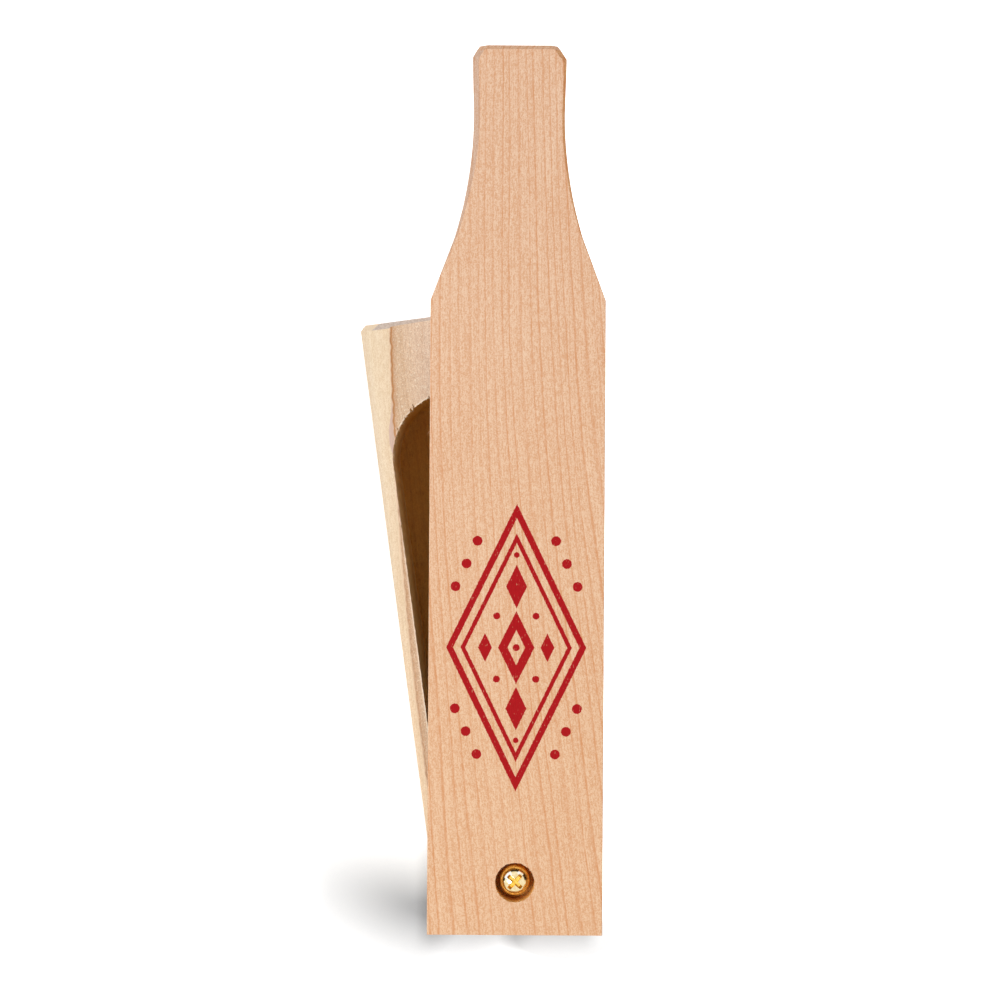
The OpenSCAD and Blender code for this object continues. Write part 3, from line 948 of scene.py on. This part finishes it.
def rim_fibres():
    """Pale torn fibres on the chamber's rim, along the lips' inner edges and over the milled surface."""
    bm = bmesh.new()
    lengthwise = pi / 2
    for angle_deg in [uniform(5, 175) for _ in range(RIM_FIBRES)]:
        angle = radians(angle_deg)
        at = rim_point(angle, uniform(0.0, 0.25))
        root = Vector((at.x, at.y, relief_z(at.x, at.y) - 0.05))
        heading = choice((angle + pi, lengthwise, angle + pi / 2))
        length = uniform(0.25, 0.8)
        curl = Vector((uniform(-0.2, 0.2), uniform(-0.2, 0.2), uniform(-0.1, 0.1)))
        direction = loose_direction(heading, 0.5, (0.0, 0.35))
        add_fibre(bm, root, direction, length, uniform(0.03, 0.07), curl)
    for place, width, length in RIM_NOTCHES:
        at = rim_point(acos(place / CHAMBER_R), 0.2)
        for offset in (-1.3, -0.8, 0.8, 1.3):
            root = Vector((at.x + offset * width, at.y + 0.3, relief_z(at.x, at.y) - 0.08))
            direction = loose_direction(lengthwise + 0.3, 0.5, (0.15, 0.5))
            add_fibre(bm, root, direction, uniform(0.6, 1.3), 0.08, Vector((0.1, -0.1, 0.1)))
    for _ in range(LIP_FIBRES):
        side = choice((-1, 1))
        y = uniform(CHAMBER_FRONT_Y - 60, FRONT_Y - 2)
        edge = BOX_W / 2 - lip_width(y) + tear_width(y, side)
        root = Vector((side * edge, y, arch_z(y) - uniform(0.1, 0.5)))
        heading = lengthwise + choice((0, pi))
        add_loose_fibre(bm, root, heading, 0.35, (0.0, 0.25), (0.3, 0.9), (0.025, 0.06))
    for _ in range(MILLED_FIBRES):
        x = uniform(-17, 17)
        y = uniform(CHAMBER_FRONT_Y + 1, FRONT_Y - 2)
        if (Vector((x, y)) - Vector((0, CHAMBER_FRONT_Y))).length < CHAMBER_R + 0.7:
            continue
        root = Vector((x, y, relief_z(x, y) - 0.02))
        heading = uniform(0, tau)
        add_loose_fibre(bm, root, heading, 0, (0.02, 0.3), (0.2, 0.6), (0.02, 0.045), (0, 0, 0.05))
    wood_fibre = fibre_wood("torn_fibre", srgb(238, 214, 180), srgb(253, 243, 226))
    return finish_piece(mesh_object("rim_fibres", bm), "box", [wood_fibre])


# Paddle


def flare(t):
    """The shoulder's rise at a share t of the flare: a parabola that ends in a straight line."""
    bend = 0.66
    if t < bend:
        return t * t
    return blend(bend * bend, 1.0, (t - bend) / (1 - bend))


def half_width(d, side):
    """Half the paddle's width at a distance d from the handle's end."""
    clip_w, clip_l = CORNER_CLIPS[side]
    if d < clip_l:
        return blend(GRIP_W / 2 - clip_w, GRIP_W / 2, d / clip_l)
    if d < GRIP_L:
        return blend(GRIP_W, NECK_W, (d - clip_l) / (GRIP_L - clip_l)) / 2
    if d < HANDLE_L:
        return NECK_W / 2 + (PADDLE_W - NECK_W) / 2 * flare((d - GRIP_L) / (HANDLE_L - GRIP_L))
    return PADDLE_W / 2


def chamfer_width(d, side):
    """Width of the chamfer on the top edge: widest at the corners, fading to an eased edge."""
    corner = CORNER_CLIPS[side][1]
    width = blend(CORNER_CHAMFERS[side], GRIP_CHAMFERS[side], smooth01((d - corner * 0.8) / 2.5))
    return blend(width, PADDLE_EASE, smooth01((d - GRIP_L) / (HANDLE_L - GRIP_L)))


def paddle_ring(d, drop=0.0):
    """The paddle's cross-section at a distance d from the handle's end."""
    y = PADDLE_L - TAIL_L - d
    top = PADDLE_T - drop
    left, right = half_width(d, -1), half_width(d, 1)
    under = [blend(-left, right, i / 16) for i in range(17)]
    ring = [(x, y, CROWN_R - sqrt(CROWN_R**2 - x * x)) for x in under]
    for side, width in ((1, right), (-1, left)):
        chamfer = chamfer_width(d, side)
        wander = 0.05 * ripple(side * 3, y, 9.0, 60)
        low = (side * (width + wander), y, top - chamfer * 0.9)
        high = (side * (width - chamfer + wander), y, top)
        ring += [low, high] if side == 1 else [high, low]
    return ring


def rough_circle(radius, count, z, rough, seed):
    """A circle whose edge wanders outwards, as torn fibres leave it."""
    points = []
    for x, y, _ in circle((0, 0), radius, count, z):
        chips = max(0.0, ripple(x, y, 1.1, seed)) + 0.5 * max(0.0, ripple(x, y, 0.5, seed + 3))
        scale = 1 + rough * chips / radius
        points.append((x * scale, y * scale, z))
    return points


# Levels of the bore below the paddle's top, and how far its torn edge wanders there
BORE_LEVELS = ((BORE_DEPTH, 0.0), (1.0, 0.05), (0.3, 0.22), (-1.0, 0.5))


def paddle_cutters():
    bore = [rough_circle(BORE_R, 160, PADDLE_T - below, rough, 70) for below, rough in BORE_LEVELS]
    hole = [circle((0, 0), HOLE_R, 64, z) for z in (-2, PADDLE_T + 1)]
    return [loft("bore_cutter", bore), loft("hole_cutter", hole)]


def paddle_surface(centre, normal):
    """1 inside the screw's bore and hole, and 0 elsewhere."""
    away = hypot(centre.x, centre.y)
    walls = away < BORE_R + 0.4 and abs(normal.z) < 0.7
    bottom = away < BORE_R + 0.2 and 1.0 < centre.z < PADDLE_T - 1
    return 1 if walls or bottom else 0


def paddle_place():
    """Where the paddle's own frame lies: at the screw, swung to the side."""
    return Matrix.Translation(PADDLE_ORIGIN) @ Matrix.Rotation(-REST_SWING, 4, "Z")


def paddle():
    stations = spaced(END_CHAMFER_PADDLE, 5.6, 0.35)
    stations += spaced(6.4, GRIP_L, 1.5)[:-1] + spaced(GRIP_L, HANDLE_L, 1.2)
    stations += spaced(HANDLE_L + 3, PADDLE_L - PADDLE_EASE, 4.0)
    rings = [paddle_ring(0.05, END_CHAMFER_PADDLE)]
    rings += [paddle_ring(d) for d in stations]
    rings.append(paddle_ring(PADDLE_L, PADDLE_EASE))
    piece = loft("paddle_body", rings)
    cut(piece, paddle_cutters())
    soften(piece, 0.1, 32)
    woods = [paddle_wood(), bored_wood()]
    return finish_piece(
        piece, "paddle", woods, ["paddle"], place=paddle_place(), kind=paddle_surface
    )


def paddle_fibres():
    """Torn fibres round the bore's rim, and a few splinters on the paddle's lower left edge."""
    bm = bmesh.new()
    for _ in range(BORE_FIBRES):
        angle = uniform(0, tau)
        radius = BORE_R + uniform(-0.02, 0.12)
        z = PADDLE_T - uniform(0.07, 0.3)
        root = Vector((radius * cos(angle), radius * sin(angle), z))
        heading = choice((angle + pi, angle + pi / 2, angle - pi / 2))
        add_loose_fibre(bm, root, heading, 0.5, (-0.3, 0.03), (0.2, 0.5), (0.02, 0.045))
    edge_z = CROWN_R - sqrt(CROWN_R**2 - (PADDLE_W / 2) ** 2)
    for y, length in ((129.5, 2.0), (128.9, 1.2), (101.0, 0.9), (74.0, 0.7)):
        root = Vector((-PADDLE_W / 2 + 0.1, y, edge_z + 0.1))
        direction = Vector((-0.7, -0.6, -0.15))
        add_fibre(bm, root, direction, length, 0.09, Vector((0.25, -0.3, 0)))
    piece = mesh_object("paddle_fibres", bm)
    wood_fibre = fibre_wood("red_fibre", srgb(236, 190, 152), srgb(248, 214, 182))
    return finish_piece(piece, "paddle", [wood_fibre], place=paddle_place())


# Screw


# The cross recess: how its two bars are turned and how deep it is
RECESS_TURNS = (radians(40), radians(40) + pi / 2)
RECESS_DEPTH = 1.45


def turned(profile, count=96):
    """Rings of a turned solid from its profile of radius and height."""
    return [circle((0, 0), radius, count, z) for radius, z in profile]


def recess_cutter(turn):
    """One tapered bar of the cross recess."""
    def outline(reach, half, z):
        corners = [(-reach, -half), (reach, -half), (reach, half), (-reach, half)]
        c, s = cos(turn), sin(turn)
        return [(x * c - y * s, x * s + y * c, z) for x, y in corners]
    return loft("recess_cutter", [
        outline(1.9, 0.4, HEAD_H - RECESS_DEPTH),
        outline(3.1, 0.66, HEAD_H + 0.2),
    ])


def head_profile():
    """From the rim of the seat, up the edge and over the dome to the top."""
    widest = asin(HEAD_R / DOME_R)
    profile = [(HEAD_R - 0.18, 0.0), (HEAD_R, 0.18), (HEAD_R, HEAD_EDGE_H - 0.12)]
    for angle in spaced(widest * 0.96, 0.02, widest / 24):
        profile.append((DOME_R * sin(angle), HEAD_H - DOME_R * (1 - cos(angle))))
    return profile


def add_thread(bm):
    """The ridge of the thread: a thin triangle swept round the core, fading in at both ends."""
    low, high = -(SEAT_Z - SCREW_LOW.z) + 1.6, -SHANK_L + 0.2
    steps_a_turn = 28
    count = int((high - low) / THREAD_PITCH * steps_a_turn)
    rings = []
    for i in range(count + 1):
        t = i / count
        angle = tau * i / steps_a_turn
        z = low + THREAD_PITCH * i / steps_a_turn
        core = ROOT_R * smooth01(0.25 + (z - low) / 3.4)
        reach = (CREST_R - ROOT_R) * smooth01(t * 9) * smooth01((1 - t) * 14) + 0.02
        root, crest = core - 0.25, core + reach
        section = ((root, -0.42), (crest, -0.05), (crest, 0.05), (root, 0.42))
        rings.append([(r * cos(angle), r * sin(angle), z + dz) for r, dz in section])
    add_loft(bm, rings)


def screw():
    piece = loft("screw_body", turned(head_profile()))
    cut(piece, [recess_cutter(turn) for turn in RECESS_TURNS])
    soften(piece, 0.06, 28)
    bm = bmesh.new()
    bm.from_mesh(piece.data)
    length = SEAT_Z - SCREW_LOW.z
    shank = [(0.05, -length), (0.55, -length + 1.2), (ROOT_R, -length + 3.6)]
    shank += [(ROOT_R, -SHANK_L - 0.3), (SHANK_R, -SHANK_L + 0.2), (SHANK_R, 0.3)]
    add_loft(bm, turned(shank, 48))
    add_thread(bm)
    write_mesh(bm, piece.data)
    piece.data.transform(Matrix.Translation((0, PIVOT_Y, SEAT_Z)))

    def surface(centre, normal):
        x, y = centre.x, centre.y - PIVOT_Y
        along = [abs(x * cos(turn) + y * sin(turn)) for turn in RECESS_TURNS]
        away = hypot(x, y)
        dome = SEAT_Z + HEAD_H - away * away / (2 * DOME_R)
        inside = min(along) < 0.7 and away < 2.9
        return 1 if inside and SEAT_Z + 0.4 < centre.z < dome - 0.12 else 0

    metals = [
        brass("head_brass", srgb(252, 234, 190), srgb(240, 212, 150), 0.12, dents=3.0, rim=True),
        # A darker copy of the brass in the cross recess: painted shade
        brass("recess_brass", srgb(226, 186, 92), srgb(200, 154, 52), 0.34),
    ]
    return finish_piece(piece, "box", metals, ["pivot_screw"], kind=surface, sharp=28)


# Spring


def coil_height(t):
    """Share of the height at a share t of the turns: the end turns lie close together."""
    closed = 0.75 / COIL_TURNS
    rise = (2 * WIRE_R) * 0.75 / (SPRING_HIGH.z - SPRING_LOW.z - 2 * WIRE_R)
    if t < closed:
        return rise * t / closed
    if t > 1 - closed:
        return 1 - rise * (1 - t) / closed
    middle = (t - closed) / (1 - 2 * closed)
    return blend(rise, 1 - rise, 0.35 * smooth01(middle) + 0.65 * middle)


def spring():
    """The tension spring: round wire with cut ends, its top turn under the screw's head."""
    low, high = SPRING_LOW.z + WIRE_R, SPRING_HIGH.z - WIRE_R
    count = int(COIL_TURNS * 56)
    rings = []
    for i in range(count + 1):
        t = i / count
        angle = COIL_END_ANGLE - tau * COIL_TURNS * (1 - t)
        z = blend(low, high, coil_height(t))
        end = min(i, count - i)
        wire = WIRE_R * (0.8 if end == 0 else 0.96 if end == 1 else 1.0)
        out = Vector((cos(angle), sin(angle), 0))
        centre = Vector((0, PIVOT_Y, z)) + out * COIL_R
        rings.append([
            centre + out * (wire * cos(b)) + Vector((0, 0, wire * sin(b)))
            for b in (tau * k / 16 for k in range(16))
        ])
    piece = loft("spring_coil", rings)
    metal = brass("spring_brass", srgb(248, 190, 86), srgb(222, 150, 48), 0.5, metallic=0.3)
    finish_piece(piece, None, [metal], ["tension_spring"])
    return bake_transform(piece)


# Floor, light and camera


def light_path_mix(tree, seen, other):
    """A shader that camera, glossy and transmission rays see as one thing and other rays as another."""
    path = add_node(tree, "LightPath").outputs
    total = path["Is Camera Ray"]
    for name in ("Is Glossy Ray", "Is Transmission Ray"):
        total = add_node(tree, "Math", total, path[name], operation="MAXIMUM").outputs[0]
    return add_node(tree, "MixShader", total, other, seen).outputs[0]


WORLD_LIGHT = 0.48
FLOOR_SIZE = 6.0
FLOOR_COLOUR = 0.62
# How much of the floor's white is its own, which no shadow takes away, in general and in the soft spots
FLOOR_OWN = 0.78
SPOT_OWN = 0.02
# Soft spots by the hinge end where the shadow shows: middle, reach to the left, to the right and across,
# turn, full share and how far out that share holds
SHADOW_SPOTS = (
    (-29.2, -90.7, 58.0, 20.0, 24.0, radians(22.0), 1.0, 0.08),
    (-15.6, -101.2, 20.0, 20.0, 10.5, radians(7.5), 0.41, 0.62),
    (12.3, -104.9, 25.0, 22.5, 10.5, radians(7.5), 1.0, 0.62),
)

# What the floor keeps of its red, green and blue in the middle of the first spot, where it is painted
# darker as a painted shadow
PAINTED_SHADOW_SHARES = (0.8, 0.815, 0.835)


def world_light():
    world = bpy.data.worlds.new("studio")
    world.use_nodes = True
    bpy.context.scene.world = world
    tree = world.node_tree
    lit = tree.nodes["Background"]
    feed_named(lit, {"Strength": WORLD_LIGHT, "Color": WHITE})
    seen = add_node(tree, "Background", WHITE)
    mixed = light_path_mix(tree, seen.outputs[0], lit.outputs[0])
    feed(tree.nodes["World Output"].inputs["Surface"], mixed)


def shadow_share(s, spots):
    """How much of the shadow shows at a place on the floor: most in the middle of the soft spots."""
    total = 0.0
    for x, y, left, right, across, turn, share, core in spots:
        moved = s.parts(s.turned(s.vector("SUBTRACT", s.place, (x, y, 0)), turn))
        along = s.math("MAXIMUM", s.math("DIVIDE", moved[0], right), s.math("DIVIDE", moved[0], -left))
        away = s.vector("LENGTH", s.joined(along, s.math("DIVIDE", moved[1], across), 0.0))
        total = s.math("MAXIMUM", total, s.step(away, core, 1.0, share, 0.0, "LINEAR"))
    return total


def floor():
    bm = bmesh.new()
    half = FLOOR_SIZE / 2 / MM
    corners = ((-half, -half), (half, -half), (half, half), (-half, half))
    bm.faces.new([bm.verts.new((x, y, -0.02)) for x, y in corners])
    piece = mesh_object("floor", bm)
    piece.data.transform(Matrix.Scale(MM, 4))
    s = Shader("floor", roughness=1.0, specular=0.0)
    beside = shadow_share(s, SHADOW_SPOTS[:1])
    # Painted shadow: the floor's colour darkens towards the middle of the first spot
    plain, painted_shadow = ([FLOOR_COLOUR * share for share in shares] for shares in ((1, 1, 1), PAINTED_SHADOW_SHARES))
    s.shade = s.mix(s.times(beside, beside), (*plain, 1.0), (*painted_shadow, 1.0))
    taken = s.times(shadow_share(s, SHADOW_SPOTS), FLOOR_OWN - SPOT_OWN)
    glow = s.node("Emission", WHITE, s.minus(FLOOR_OWN, taken))
    both = s.node("AddShader", s.surface.outputs[0], glow.outputs[0])
    mixed = light_path_mix(s.tree, both.outputs[0], s.surface.outputs[0])
    feed(s.tree.nodes["Material Output"].inputs["Surface"], mixed)
    piece.data.materials.append(s.finished())
    return piece


# Lamps: name, direction, size, power, colour, and whether they leave out the floor or light it alone
LAMPS = (
    ("key", (-0.45, -0.05, 1.0), 0.4, 9.5, WHITE[:3], "EXCLUDE"),
    ("cool_fill", (-1.0, 0.1, 0.35), 0.9, 1.9, (0.55, 0.8, 1.0), "EXCLUDE"),
    ("floor_key", (0.75, 0.35, 1.0), 0.3, 16.5, WHITE[:3], "INCLUDE"),
    ("floor_top", (0.0565, 0.1462, 1.0), 0.11, 8.0, WHITE[:3], "INCLUDE"),
)
LAMP_DISTANCE = 1.3
LAMP_TARGET = Vector((0, 0, 0.03))


def lamps(ground):
    """Square lamps that shine at the middle of the box."""
    for name, direction, size, power, colour, reach in LAMPS:
        lamp = bpy.data.lights.new(name, "AREA")
        lamp.shape = "SQUARE"
        lamp.size = size
        lamp.energy = power
        lamp.color = colour
        made = placed(name, lamp)
        away = Vector(direction).normalized()
        made.location = away * LAMP_DISTANCE + LAMP_TARGET
        made.rotation_euler = away.to_track_quat("Z", "Y").to_euler()
        group = bpy.data.collections.new(name + "_reach")
        group.objects.link(ground)
        group.collection_objects[0].light_linking.link_state = reach
        made.light_linking.receiver_collection = group


def camera():
    right = Vector((cos(CAMERA_TURN), -sin(CAMERA_TURN), 0))
    up = Vector((sin(CAMERA_TURN), cos(CAMERA_TURN), 0))
    middle = FRAME_PIXELS / 2
    pivot = Vector((0, PIVOT_Y, PADDLE_TOP_Z))
    across, below = ((place - middle) * PIXEL for place in PIVOT_PIXEL)
    centre = pivot - right * across + up * below
    data = bpy.data.cameras.new("camera")
    data.sensor_fit = "HORIZONTAL"
    data.angle = 2 * atan(middle * PIXEL / CAMERA_ABOVE)
    made = placed("camera", data)
    made.location = (centre + Vector((0, 0, CAMERA_ABOVE))) * MM
    made.rotation_euler = (0, 0, -CAMERA_TURN)
    bpy.context.scene.camera = made


camera()
world_light()
lamps(floor())
sound_box()
rim_fibres()
paddle()
paddle_fibres()
screw()
spring()
bpy.context.scene.view_settings.view_transform = "Standard"
